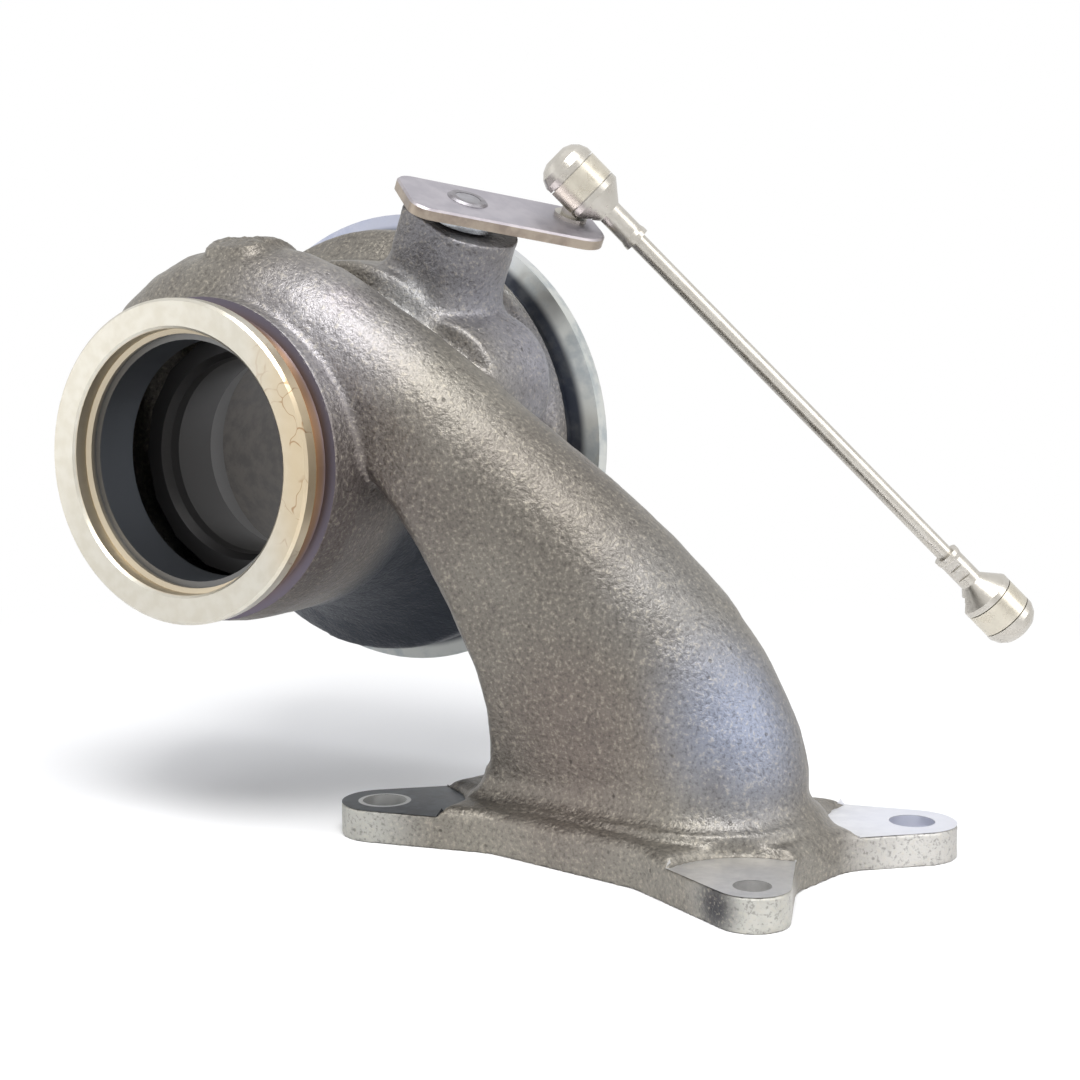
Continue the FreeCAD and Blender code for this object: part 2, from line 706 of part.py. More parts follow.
def lever_weld():
    """Weld bead round the spindle's upper end."""
    hole = SPINDLE_END_R + PRESS_FIT
    bead = turned((hole, LEVER_TOP + WELD_GAP), (WELD_R, LEVER_TOP + WELD_GAP),
                  (WELD_R - WELD_RISE, LEVER_TOP + WELD_RISE),
                  (hole, LEVER_TOP + WELD_RISE))
    return placed(bead, SHAFT)


def flapper_arm():
    hub = disc(ARM_HUB_R, HUB_BOTTOM, HUB_TOP)
    web = Part.makeBox(ARM_LENGTH, ARM_THICK, 2 * ARM_WEB_HALF,
                       V(0, ARM_FRONT, ARM_HUB_HEIGHT - ARM_WEB_HALF))
    eye = Part.makeCylinder(ARM_EYE_R, ARM_THICK, V(ARM_LENGTH, ARM_FRONT, ARM_HUB_HEIGHT), Y_AXIS)
    arm = fused(hub, web, eye)
    hole = Part.makeCylinder(VALVE_STEM_R + ARM_EYE_FIT, 4 * ARM_THICK,
                             V(ARM_LENGTH, ARM_FRONT - ARM_THICK, ARM_HUB_HEIGHT), Y_AXIS)
    bore = disc(SPINDLE_R + PRESS_FIT, HUB_BOTTOM - OVERCUT, HUB_TOP + OVERCUT)
    return placed(arm.cut([hole, bore]), SHAFT)


def flapper_valve():
    """Disc with its stem, turned about the port's axis."""
    top = VALVE_LIFT + VALVE_THICK
    stem_end = top + VALVE_SPRING_HEIGHT + ARM_THICK + VALVE_PLAY + RETAINER_THICK
    valve = turned(
        (0, VALVE_LIFT), (VALVE_R, VALVE_LIFT), (VALVE_R, top - VALVE_EDGE_RISE),
        (VALVE_R - VALVE_EDGE, top), (VALVE_STEM_R, top), (VALVE_STEM_R, stem_end),
        (0, stem_end))
    return placed(valve, PORT)


def flapper_spring_washer():
    """Dished spring washer that takes up the play between valve and arm."""
    low = VALVE_LIFT + VALVE_THICK + SEAT_CLEAR
    rise = VALVE_SPRING_HEIGHT - VALVE_WASHER_THICK - 2 * SEAT_CLEAR
    hole = VALVE_STEM_R + VALVE_WASHER_GAP
    washer = turned((hole, low + rise), (VALVE_WASHER_R, low),
                    (VALVE_WASHER_R, low + VALVE_WASHER_THICK),
                    (hole, low + rise + VALVE_WASHER_THICK))
    return placed(washer, PORT)


def flapper_retainer():
    low = VALVE_LIFT + VALVE_THICK + VALVE_SPRING_HEIGHT + ARM_THICK + VALVE_PLAY
    ring = turned((VALVE_STEM_R + PRESS_FIT, low), (RETAINER_R, low),
                  (RETAINER_R, low + RETAINER_THICK / 2),
                  (RETAINER_R - RETAINER_THICK / 2, low + RETAINER_THICK),
                  (VALVE_STEM_R + PRESS_FIT, low + RETAINER_THICK))
    return placed(ring, PORT)


# Ball stud, link rod and its sockets


STUD_PLACE = V(STUD_RADIUS * math.cos(math.radians(STUD_BEARING)),
               STUD_RADIUS * math.sin(math.radians(STUD_BEARING)), 0)
NEAR_BALL = SHAFT.multVec(STUD_PLACE + V(0, 0, BALL_HEIGHT))
FAR_BALL = NEAR_BALL + V(ROD_DIRECTION).normalize() * ROD_LENGTH
NEAR_SOCKET = in_plane(NEAR_BALL, ROD_DIRECTION * -1, SHAFT_UP * -1)
FAR_SOCKET = in_plane(FAR_BALL, ROD_DIRECTION, SHAFT_UP * -1)
BALL_FRAME = in_plane(NEAR_BALL, SHAFT_UP, ROD_DIRECTION)
FAR_BALL_FRAME = in_plane(FAR_BALL, FAR_SOCKET.Rotation.multVec(X_AXIS), ROD_DIRECTION)


def ball_stud():
    low = LEVER_LIFT - STUD_TAIL_RISE
    neck = math.sqrt(BALL_R ** 2 - STUD_SHANK_R ** 2)
    stem = turned(
        (0, low), (STUD_TAIL_R - STUD_TAIL_RISE / 2, low),
        (STUD_TAIL_R, LEVER_LIFT - STUD_TAIL_RISE / 2),
        (STUD_TAIL_R, LEVER_LIFT), (STUD_SHANK_R, LEVER_LIFT), (STUD_SHANK_R, LEVER_TOP),
        (STUD_COLLAR_R, LEVER_TOP), (STUD_COLLAR_R, LEVER_TOP + STUD_COLLAR_THICK),
        (STUD_SHANK_R, LEVER_TOP + STUD_COLLAR_THICK), (STUD_SHANK_R, BALL_HEIGHT - neck),
        (0, BALL_HEIGHT - neck))
    ball = Part.makeSphere(BALL_R, V(0, 0, BALL_HEIGHT))
    return placed(fused(stem, ball).translated(STUD_PLACE), SHAFT)


def ball_seat(frame):
    """Race between ball and socket, with coned faces that touch the ball."""
    half = SEAT_HALF_LENGTH
    race = turned(
        (SEAT_END_INNER_R, -half), (SEAT_END_OUTER_R, -half), (SEAT_OUTER_R, -SEAT_BELT),
        (SEAT_OUTER_R, SEAT_BELT), (SEAT_END_OUTER_R, half), (SEAT_END_INNER_R, half),
        (SEAT_INNER_R, SEAT_BELT), (SEAT_INNER_R, -SEAT_BELT))
    return placed(race, frame)


def socket_slot():
    """Opening for the stud, along local X on the stud's side."""
    return Part.makeBox(SOCKET_R * 2, 2 * SLOT_HALF_WIDTH, SLOT_BACK + SLOT_FRONT,
                        V(0, -SLOT_HALF_WIDTH, -SLOT_FRONT))


def socket_body(frame):
    face = -BAND_HALF_LENGTH - SOCKET_SEAM
    cone_end = face - CONE_LENGTH
    neck_end = cone_end - NECK_LENGTH
    rod_hole = ROD_R + PRESS_FIT
    sleeve_end = BAND_HALF_LENGTH + SOCKET_SEAM + SLEEVE_TUCK
    body = turned(
        (rod_hole, neck_end), (COLLAR_R, neck_end), (COLLAR_R, neck_end + COLLAR_LENGTH),
        (SOCKET_NECK_R, neck_end + 2 * COLLAR_LENGTH), (SOCKET_NECK_R, cone_end),
        (SOCKET_R, face - CONE_SHOULDER), (SOCKET_R, face), (SLEEVE_R, face),
        (SLEEVE_R, sleeve_end), (SOCKET_BORE_R, sleeve_end), (SOCKET_BORE_R, -SOCKET_FLOOR),
        (rod_hole, -SOCKET_FLOOR - SOCKET_FLOOR_CONE))
    dimples = [Part.makeBox(2 * COLLAR_R, COLLAR_R, DIMPLE_LENGTH,
                            V(-COLLAR_R, -SOCKET_NECK_R - COLLAR_R + DIMPLE_DEPTH,
                              -place - DIMPLE_LENGTH / 2))
               for place in DIMPLE_PLACES]
    return placed(body.cut([socket_slot()] + dimples), frame)


def socket_band(frame):
    """Spring clip round the sleeve, open on the stud's side."""
    band = disc(SOCKET_R, -BAND_HALF_LENGTH, BAND_HALF_LENGTH, SLEEVE_R + RUNNING_FIT)
    return placed(band.cut(socket_slot()), frame)


def socket_cap(frame):
    low = BAND_HALF_LENGTH + SOCKET_SEAM
    top = low + CAP_LENGTH
    hole = SLEEVE_R + PRESS_FIT
    cap = turned(
        (hole, low), (SOCKET_R, low), (SOCKET_R, top - CAP_ROUND),
        *bowed((SOCKET_R, top - CAP_ROUND), (SOCKET_R - CAP_ROUND, top), -CAP_BOW, 3),
        (0, top), (0, low + CAP_HOLLOW), (hole - CAP_BEVEL, low + CAP_HOLLOW),
        (hole, low + CAP_HOLLOW - CAP_BEVEL))
    return placed(cap.cut(socket_slot()), frame)


def seat_spring(frame):
    """Dished spring washer between the cap's floor and the ball seat."""
    top = BAND_HALF_LENGTH + SOCKET_SEAM + CAP_HOLLOW - SEAT_CLEAR
    low = top - SPRING_RISE
    spring = turned((SPRING_EYE_R, top - SPRING_THICK), (SPRING_R, low - SPRING_THICK),
                    (SPRING_R, low), (SPRING_EYE_R, top))
    return placed(spring, frame)


def link_rod():
    rod = disc(ROD_R, ROD_TUCK, ROD_LENGTH - ROD_TUCK)
    return placed(rod, in_plane(NEAR_BALL, ROD_DIRECTION, SHAFT_UP))


def write(name, shape):
    print(name, "valid", shape.isValid(), "solids", len(shape.Solids),
          "volume", round(shape.Volume, 1))
    shape.exportStep("parts/" + name + ".step")


os.makedirs("parts", exist_ok=True)
write("turbine_housing", turbine_housing())
write("shaft_bushing", shaft_bushing())
write("shaft_seal_rings", shaft_seal_rings())
write("wastegate_spindle", wastegate_spindle())
write("thrust_washer", thrust_washer())
write("crank_lever", crank_lever())
write("lever_weld", lever_weld())
write("flapper_arm", flapper_arm())
write("flapper_valve", flapper_valve())
write("flapper_spring_washer", flapper_spring_washer())
write("flapper_retainer", flapper_retainer())
write("ball_stud", ball_stud())
write("link_rod", link_rod())
for end, socket, ball in (("near", NEAR_SOCKET, BALL_FRAME), ("far", FAR_SOCKET, FAR_BALL_FRAME)):
    write(end + "_socket_body", socket_body(socket))
    write(end + "_socket_band", socket_band(socket))
    write(end + "_socket_cap", socket_cap(socket))
    write(end + "_seat_spring", seat_spring(socket))
    write(end + "_ball_seat", ball_seat(ball))
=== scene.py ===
import json
import math

import bmesh
import bpy
import numpy as np
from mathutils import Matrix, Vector

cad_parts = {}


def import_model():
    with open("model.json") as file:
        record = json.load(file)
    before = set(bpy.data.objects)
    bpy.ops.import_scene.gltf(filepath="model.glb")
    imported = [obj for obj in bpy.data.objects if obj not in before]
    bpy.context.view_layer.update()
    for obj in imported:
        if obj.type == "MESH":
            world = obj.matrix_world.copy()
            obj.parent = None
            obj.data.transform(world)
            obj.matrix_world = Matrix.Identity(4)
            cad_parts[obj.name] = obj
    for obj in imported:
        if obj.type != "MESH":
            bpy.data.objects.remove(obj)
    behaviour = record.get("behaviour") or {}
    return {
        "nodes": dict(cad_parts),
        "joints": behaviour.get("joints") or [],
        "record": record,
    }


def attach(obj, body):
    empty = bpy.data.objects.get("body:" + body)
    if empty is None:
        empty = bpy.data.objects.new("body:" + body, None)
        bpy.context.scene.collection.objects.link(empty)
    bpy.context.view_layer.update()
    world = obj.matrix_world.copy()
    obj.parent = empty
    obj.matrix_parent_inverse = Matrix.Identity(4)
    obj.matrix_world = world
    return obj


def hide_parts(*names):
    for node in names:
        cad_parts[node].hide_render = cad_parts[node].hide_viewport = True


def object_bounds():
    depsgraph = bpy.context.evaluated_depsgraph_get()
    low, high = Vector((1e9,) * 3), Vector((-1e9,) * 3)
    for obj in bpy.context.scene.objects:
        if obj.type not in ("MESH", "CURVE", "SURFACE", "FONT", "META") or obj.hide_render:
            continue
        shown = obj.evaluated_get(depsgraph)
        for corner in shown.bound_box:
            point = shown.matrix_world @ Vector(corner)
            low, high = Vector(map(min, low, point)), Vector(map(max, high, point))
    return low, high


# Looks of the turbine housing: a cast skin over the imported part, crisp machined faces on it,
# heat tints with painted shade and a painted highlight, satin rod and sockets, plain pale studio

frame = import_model()
cad_low, cad_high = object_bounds()

# Places of the part, in metres, row frame
MM = 0.001
MOUNTS = {m["name"]: m for m in frame["record"]["mounts"]}
SHAFT = next(j for j in frame["joints"] if j["name"] == "wastegate_shaft")
AXIS_X = MOUNTS["centre_housing_pilot"]["pos_m"][0]
AXIS_Z = MOUNTS["centre_housing_pilot"]["pos_m"][2]
NEAR_FACE_Y = cad_low.y
NECK_START_Y = NEAR_FACE_Y + 11.0 * MM
HUB_END_Y = NEAR_FACE_Y + 47.5 * MM
OUTLET_FLOOR_Y = NEAR_FACE_Y + 53.5 * MM
MOUTH_Y = NEAR_FACE_Y + 86.0 * MM
SHOULDER_Y = NEAR_FACE_Y + 90.5 * MM
BORE_R = 33.2 * MM
NECK_R = 41.6 * MM
MOUTH_R = 54.5 * MM
FAR_REACH = 68.0 * MM
LUGS = ("flange_stud_left", "flange_stud_right", "flange_stud_back", "flange_dowel")
LUG_TOP = MOUNTS["flange_dowel"]["dims"]["length_mm"] * MM
FLANGE_TOP = 10.4 * MM
SPOTFACE_R = 21.0 * MM
DOWEL_SPOTFACE_R = 22.0 * MM
FOOT_GAP = 3.0 * MM

# Cast skin
SKIN_VOXEL = 0.75 * MM
SKIN_SMOOTH = 9
BLEND_SMOOTH = 36
LUMP_SIZE = 7.0 * MM
LUMP_DEPTH = 0.5 * MM
LUMP_MIDDLE = 0.62
PAD_PLACE = (AXIS_X - 1.0 * MM, NEAR_FACE_Y + 33.0 * MM, AXIS_Z + 56.0 * MM)
PAD_REACH = 13.0 * MM
PAD_LOW = AXIS_Z + 54.2 * MM
PAD_GRAIN = 1.6 * MM
PAD_DEPTH = 1.0 * MM
BED_OVERLAP = 0.6 * MM
RING_MARGIN = 1.2 * MM
LUG_MARGIN = 0.3 * MM
BASE_TOP = 0.8 * MM
BOSS_R = 20.0 * MM
BOSS_TOP_DEPTH = 1.5 * MM
BOSS_FOOT_R = 30.0 * MM
BOSS_FOOT_START = 11.0 * MM
BOSS_FOOT_END = 32.0 * MM
SHAFT_ROOM_R = 8.0 * MM
OUTLET_BLEND_Y = HUB_END_Y - 6.0 * MM
CRISP_LIFT = 0.05 * MM
SEAM = 0.03 * MM
SLEEVE_PROFILE = [(52.0, 28.6), (82.0, 28.6), (83.0, 29.2), (83.0, 30.0), (82.2, 30.6),
                  (52.0, 30.6)]
SLEEVE_SIDES = 96

# Camera, as solved from the photograph
CAMERA_PLACE = Vector((0.20583, -0.41031, 0.13092))
CAMERA_AZIMUTH = 29.81
CAMERA_ELEVATION = 6.93
CAMERA_LENS = 63.53

# Studio
ROOM_LOW = (0.30, 0.31, 0.33)
ROOM_HIGH = (0.80, 0.81, 0.84)
FLOOR_REACH = 6.0
FLOOR_MIDDLE = (-0.03, 0.0, 0.0)
FLOOR_FADE = 0.42


# Node helpers


class Nodes:
    """A material's node tree, with short calls for the nodes that this scene uses."""

    def __init__(self, name):
        self.material = bpy.data.materials.new(name)
        self.material.use_nodes = True
        self.tree = self.material.node_tree
        self.shader = self.tree.nodes["Principled BSDF"]
        self.place = self.tree.nodes.new("ShaderNodeTexCoord").outputs["Object"]

    def add(self, kind, **values):
        node = self.tree.nodes.new(kind)
        for key, value in values.items():
            setattr(node, key, value)
        return node

    def link(self, source, target):
        if isinstance(source, bpy.types.NodeSocket):
            self.tree.links.new(source, target)
        else:
            target.default_value = source

    def noise(self, scale, detail=4.0, rough=0.55, stretch=None):
        node = self.add("ShaderNodeTexNoise")
        node.inputs["Scale"].default_value = scale
        node.inputs["Detail"].default_value = detail
        node.inputs["Roughness"].default_value = rough
        place = self.place
        if stretch:
            mapping = self.add("ShaderNodeMapping")
            mapping.inputs["Scale"].default_value = stretch
            self.link(place, mapping.inputs["Vector"])
            place = mapping.outputs[0]
        self.link(place, node.inputs["Vector"])
        return node.outputs["Fac"]

    def cells(self, scale):
        node = self.add("ShaderNodeTexVoronoi")
        node.inputs["Scale"].default_value = scale
        self.link(self.place, node.inputs["Vector"])
        return node.outputs["Distance"]

    def span(self, value, low, high, to_low=0.0, to_high=1.0):
        node = self.add("ShaderNodeMapRange", interpolation_type="SMOOTHSTEP")
        for name, given in (("Value", value), ("From Min", low), ("From Max", high),
                            ("To Min", to_low), ("To Max", to_high)):
            self.link(given, node.inputs[name])
        return node.outputs["Result"]

    def math(self, operation, a, b=0.0):
        node = self.add("ShaderNodeMath", operation=operation)
        self.link(a, node.inputs[0])
        self.link(b, node.inputs[1])
        return node.outputs[0]

    def mix(self, share, a, b, blend="MIX"):
        node = self.add("ShaderNodeMix", data_type="RGBA", blend_type=blend)
        self.link(share, node.inputs["Factor"])
        self.link(a, node.inputs[6])
        self.link(b, node.inputs[7])
        return node.outputs[2]

    def near(self, centre, radius):
        """1 at a point and falling to 0 at a radius from it."""
        node = self.add("ShaderNodeVectorMath", operation="DISTANCE")
        self.link(self.place, node.inputs[0])
        node.inputs[1].default_value = centre
        return self.span(node.outputs["Value"], radius * 0.15, radius, 1.0, 0.0)

    def along(self, direction, start, end):
        """0 to 1 between two distances along a direction."""
        node = self.add("ShaderNodeVectorMath", operation="DOT_PRODUCT")
        self.link(self.place, node.inputs[0])
        node.inputs[1].default_value = direction
        return self.span(node.outputs["Value"], start, end)

    def axis_distance(self):
        """Distance from the turbine axis."""
        node = self.add("ShaderNodeVectorMath", operation="DISTANCE")
        flat = self.add("ShaderNodeVectorMath", operation="MULTIPLY")
        self.link(self.place, flat.inputs[0])
        flat.inputs[1].default_value = (1, 0, 1)
        self.link(flat.outputs[0], node.inputs[0])
        node.inputs[1].default_value = (AXIS_X, 0, AXIS_Z)
        return node.outputs["Value"]

    def facing(self, direction, low, high):
        """0 to 1 as the surface turns towards a direction."""
        geometry = self.add("ShaderNodeNewGeometry")
        node = self.add("ShaderNodeVectorMath", operation="DOT_PRODUCT")
        self.link(geometry.outputs["Normal"], node.inputs[0])
        node.inputs[1].default_value = direction
        return self.span(node.outputs["Value"], low, high)

    def bump(self, height, distance, strength):
        node = self.add("ShaderNodeBump")
        node.inputs["Strength"].default_value = strength
        node.inputs["Distance"].default_value = distance
        self.link(height, node.inputs["Height"])
        return node.outputs["Normal"]

    def surface(self, colour, metallic, roughness, normal=None):
        self.link(colour, self.shader.inputs["Base Color"])
        self.link(metallic, self.shader.inputs["Metallic"])
        self.link(roughness, self.shader.inputs["Roughness"])
        if normal is not None:
            self.link(normal, self.shader.inputs["Normal"])
        return self.material


def grey(value):
    return (value, value, value, 1.0)


def rgb(red, green, blue):
    """Colour given as it shows on screen, 0 to 255."""
    def linear(value):
        value = value / 255
        return value / 12.92 if value <= 0.04045 else ((value + 0.055) / 1.055) ** 2.4
    return (linear(red), linear(green), linear(blue), 1.0)


# Materials


# Tints of the casting, with painted shade and a painted highlight among them: centre in metres,
# reach, share and colour on screen
CAST_TINTS_AND_PAINTED_LIGHT = [
    # painted shade: the left of the neck below the near ring darkened
    ((-0.075, -0.040, 0.085), 0.050, 0.75, (98, 88, 88)),
    ((-0.072, -0.036, 0.126), 0.034, 0.60, (156, 154, 160)),
    ((0.040, -0.022, 0.040), 0.034, 0.85, (132, 140, 160)),
    ((0.030, -0.028, 0.075), 0.040, 0.60, (124, 126, 130)),
    # painted highlight on the top of the crest
    ((-0.034, -0.034, 0.158), 0.026, 0.70, (206, 198, 172)),
    ((-0.008, -0.030, 0.026), 0.036, 0.65, (112, 100, 94)),
    ((-0.058, 0.006, 0.146), 0.030, 0.85, (118, 118, 126)),
    ((-0.068, -0.004, 0.132), 0.014, 0.70, (160, 160, 160)),
    ((-0.048, 0.020, 0.118), 0.034, 0.70, (144, 145, 158)),
    ((-0.040, -0.030, 0.138), 0.022, 0.65, (122, 124, 154)),
    ((-0.060, -0.034, 0.142), 0.016, 0.60, (156, 134, 148)),
    ((-0.030, -0.048, 0.006), 0.030, 0.70, (164, 160, 148)),
    ((-0.062, -0.030, 0.004), 0.022, 0.80, (184, 184, 178)),
    ((0.050, -0.050, 0.004), 0.020, 0.85, (200, 199, 192)),
    ((0.060, 0.018, 0.004), 0.026, 0.85, (212, 210, 206)),
    ((0.0425, -0.0502, 0.0045), 0.010, 0.95, (46, 46, 52)),
]


def cast_material():
    """Sand-cast iron: grainy, olive brown, with heat tints and bright flecks, painted shade left of
    the neck and under the outlet body, and a painted highlight on the crest's top.
    """
    n = Nodes("cast_iron_sand")
    sand = n.noise(1000, 3, 0.65)
    coarse = n.noise(330, 2, 0.5)
    patch = n.noise(60, 4, 0.6)
    cloud = n.noise(14, 3, 0.5)
    colour = n.mix(n.span(cloud, 0.36, 0.64), rgb(112, 107, 100), rgb(131, 127, 119))
    for centre, reach, share, tint in CAST_TINTS_AND_PAINTED_LIGHT:
        colour = n.mix(n.math("MULTIPLY", n.near(centre, reach), share), colour, rgb(*tint))
    colour = n.mix(n.math("MULTIPLY", n.span(patch, 0.50, 0.72), 0.30), colour, rgb(92, 86, 82))
    colour = n.mix(n.math("MULTIPLY", n.span(sand, 0.52, 0.68), 0.32), colour, rgb(196, 188, 172))
    colour = n.mix(n.math("MULTIPLY", n.span(sand, 0.48, 0.34), 0.42), colour, rgb(62, 57, 53))
    pit = n.span(n.cells(170), 0.04, 0.10, 1.0, 0.0)
    colour = n.mix(n.math("MULTIPLY", pit, 0.45), colour, rgb(52, 48, 46))
    # painted shade: the outlet body's underside darkened to a dark steel blue
    low = n.along((0, 0, -1), -0.098, -0.070)
    behind = n.along((0, 1, 0), -0.022, -0.006)
    left = n.along((-1, 0, 0), 0.040, 0.070)
    shade = n.math("MULTIPLY", n.math("MULTIPLY", low, behind), left)
    colour = n.mix(n.math("MULTIPLY", shade, 0.94), colour, rgb(46, 52, 62))
    rough = n.span(sand, 0.3, 0.7, 0.34, 0.50)
    height = n.math("ADD", n.math("MULTIPLY", sand, 0.6), n.math("MULTIPLY", coarse, 0.5))
    height = n.math("SUBTRACT", height, n.math("MULTIPLY", pit, 0.3))
    normal = n.bump(height, 0.55 * MM, 0.9)
    return n.surface(colour, 0.74, rough, normal)


def veins(n):
    """Fine branching lines, 1 on the line."""
    wobble = n.add("ShaderNodeTexNoise")
    wobble.inputs["Scale"].default_value = 90
    n.link(n.place, wobble.inputs["Vector"])
    small = n.add("ShaderNodeVectorMath", operation="SCALE")
    n.link(wobble.outputs["Color"], small.inputs[0])
    small.inputs["Scale"].default_value = 0.022
    warp = n.add("ShaderNodeVectorMath", operation="ADD")
    n.link(n.place, warp.inputs[0])
    n.link(small.outputs[0], warp.inputs[1])
    cell = n.add("ShaderNodeTexVoronoi", feature="DISTANCE_TO_EDGE")
    cell.inputs["Scale"].default_value = 110
    n.link(warp.outputs[0], cell.inputs["Vector"])
    return n.span(cell.outputs["Distance"], 0.0, 0.035, 1.0, 0.0)


def ring_material():
    """Near ring: cream nickel face, gold to violet groove, bore darkened inward with painted shade.
    """
    n = Nodes("near_ring_turned")
    radius = n.axis_distance()
    turning = n.noise(300, 2, 0.5)
    face = n.mix(n.span(turning, 0.3, 0.7), rgb(206, 202, 191), rgb(199, 194, 181))
    side = n.along((1, 0, 0.1), -0.070, -0.054)
    face = n.mix(n.math("MULTIPLY", side, 0.6), face, rgb(204, 180, 138))
    patchy = n.span(n.noise(90, 3), 0.44, 0.54)
    crack = n.math("MULTIPLY", n.math("MULTIPLY", veins(n), side), patchy)
    face = n.mix(n.math("MULTIPLY", crack, 0.75), face, rgb(142, 96, 52))
    # groove tint runs from gold by the ring through brown to violet by the neck
    gold = n.along((0, 1, 0), NEAR_FACE_Y + 0.0038, NEAR_FACE_Y + 0.0062)
    tint = n.mix(gold, rgb(216, 174, 92), rgb(150, 102, 50))
    brown = n.along((0, 1, 0), NEAR_FACE_Y + 0.0068, NEAR_FACE_Y + 0.0092)
    tint = n.mix(brown, tint, rgb(104, 82, 66))
    violet = n.along((0, 1, 0), NEAR_FACE_Y + 0.0092, NEAR_FACE_Y + 0.0108)
    tint = n.mix(violet, tint, rgb(98, 92, 102))
    # painted shade in the bore: pale at its mouth, slate behind the step and near black in the
    # shroud
    inside = n.span(radius, 0.0325, 0.0329, 1.0, 0.0)
    step_shade = n.along((0, 1, 0), NEAR_FACE_Y + 0.0045, NEAR_FACE_Y + 0.0070)
    bore = n.mix(step_shade, rgb(190, 178, 156), rgb(96, 100, 106))
    shroud_shade = n.along((0, 1, 0), NEAR_FACE_Y + 0.0170, NEAR_FACE_Y + 0.0270)
    bore = n.mix(shroud_shade, bore, rgb(74, 73, 73))
    groove = n.along((0, 1, 0), NEAR_FACE_Y + 0.0036, NEAR_FACE_Y + 0.0040)
    colour = n.mix(groove, face, tint)
    colour = n.mix(inside, colour, bore)
    rough = n.mix(inside, grey(0.32), grey(0.42))
    normal = n.bump(n.noise(900, 2, 0.5, (1, 6, 1)), 0.02 * MM, 0.3)
    return n.surface(colour, 0.9, rough, normal)


def far_ring_material():
    """Far ring: pale rim, tinted above, with a dark groove."""
    n = Nodes("far_ring_turned")
    radius = n.axis_distance()
    wear = n.noise(120, 4, 0.6)
    face = n.mix(n.span(wear, 0.4, 0.65), rgb(208, 210, 206), rgb(178, 184, 186))
    upper = n.along((-0.5, 0, 1), 0.165, 0.200)
    face = n.mix(n.math("MULTIPLY", upper, 0.6), face, rgb(160, 164, 194))
    groove = n.span(radius, 0.0588, 0.0612, 1.0, 0.0)
    groove_dark = n.mix(n.span(wear, 0.4, 0.6), rgb(66, 70, 80), rgb(86, 88, 92))
    colour = n.mix(groove, face, groove_dark)
    inside = n.span(radius, 0.0539, 0.0544, 1.0, 0.0)
    colour = n.mix(inside, colour, rgb(92, 84, 78))
    rough = n.span(wear, 0.3, 0.7, 0.28, 0.45)
    return n.surface(colour, 0.9, rough, n.bump(wear, 0.05 * MM, 0.4))


def lug_material():
    """Milled lug faces: pale at right, dark at the left lug, bright at the holes."""
    n = Nodes("lug_face_milled")
    wear = n.noise(160, 4, 0.6)
    colour = n.mix(n.span(wear, 0.3, 0.7), rgb(226, 225, 223), rgb(200, 199, 198))
    right = n.near((0.0608, 0.0235, 0.008), 0.034)
    colour = n.mix(n.math("MULTIPLY", right, 0.9), colour, rgb(224, 226, 236))
    left = n.near((-0.0608, -0.0235, 0.008), 0.036)
    left_lug_dark = n.mix(n.span(wear, 0.42, 0.6), rgb(60, 62, 68), rgb(98, 102, 106))
    colour = n.mix(n.span(left, 0.0, 0.12), colour, left_lug_dark)
    holes = n.near((-0.0608, -0.0235, 0.008), 0.0085)
    colour = n.mix(n.span(holes, 0.14, 0.2), colour, rgb(214, 214, 212))
    rough = n.span(wear, 0.3, 0.7, 0.3, 0.42)
    return n.surface(colour, 0.85, rough, n.bump(wear, 0.03 * MM, 0.4))


def metal(name, light, dark, roughness, scale=240, depth=0.04, metallic=0.92):
    """Plain metal: two close colours, light wear in its roughness and relief in millimetres."""
    n = Nodes(name)
    wear = n.noise(scale, 4, 0.6)
    colour = n.mix(n.span(wear, 0.32, 0.68), rgb(*dark), rgb(*light))
    rough = n.span(wear, 0.3, 0.7, roughness - 0.05, roughness + 0.07)
    return n.surface(colour, metallic, rough, n.bump(wear, depth * MM, 0.5))


def lever_material():
    n = Nodes("lever_stamped")
    wear = n.noise(150, 4, 0.6)
    top = n.mix(n.span(wear, 0.35, 0.65), rgb(160, 156, 164), rgb(176, 172, 178))
    edge = n.mix(n.span(wear, 0.35, 0.65), rgb(136, 124, 114), rgb(168, 156, 142))
    up = n.facing((0.418, -0.142, 0.897), 0.5, 0.8)
    rough = n.span(wear, 0.3, 0.7, 0.34, 0.46)
    return n.surface(n.mix(up, edge, top), 0.88, rough, n.bump(wear, 0.06 * MM, 0.4))


# Cast skin and machined faces


def mesh_points(mesh):
    points = np.empty(len(mesh.vertices) * 3)
    mesh.vertices.foreach_get("co", points)
    return points.reshape(-1, 3)


def radius_of(points):
    return np.hypot(points[:, 0] - AXIS_X, points[:, 2] - AXIS_Z)


def lug_places():
    """Centre and spotface radius of every lug, from the flange's mounts."""
    for name in LUGS:
        x, y, z = MOUNTS[name]["pos_m"]
        yield x, y, DOWEL_SPOTFACE_R if name == "flange_dowel" else SPOTFACE_R


def in_lug(points, margin, top):
    found = np.zeros(len(points), bool)
    for x, y, radius in lug_places():
        found |= np.hypot(points[:, 0] - x, points[:, 1] - y) < radius + margin
    return found & (points[:, 2] < top)


def milled(points):
    """The lugs' milled tops with the step behind them, and the walls of their holes."""
    tops = in_lug(points, 0.1 * MM, FLANGE_TOP) & (points[:, 2] > LUG_TOP - 0.1 * MM)
    holes = np.zeros(len(points), bool)
    for name in LUGS:
        x, y, z = MOUNTS[name]["pos_m"]
        radius = MOUNTS[name]["dims"]["r_mm"] * MM + 0.2 * MM
        holes |= np.hypot(points[:, 0] - x, points[:, 1] - y) < radius
    return tops | (holes & (points[:, 2] < LUG_TOP + MM))


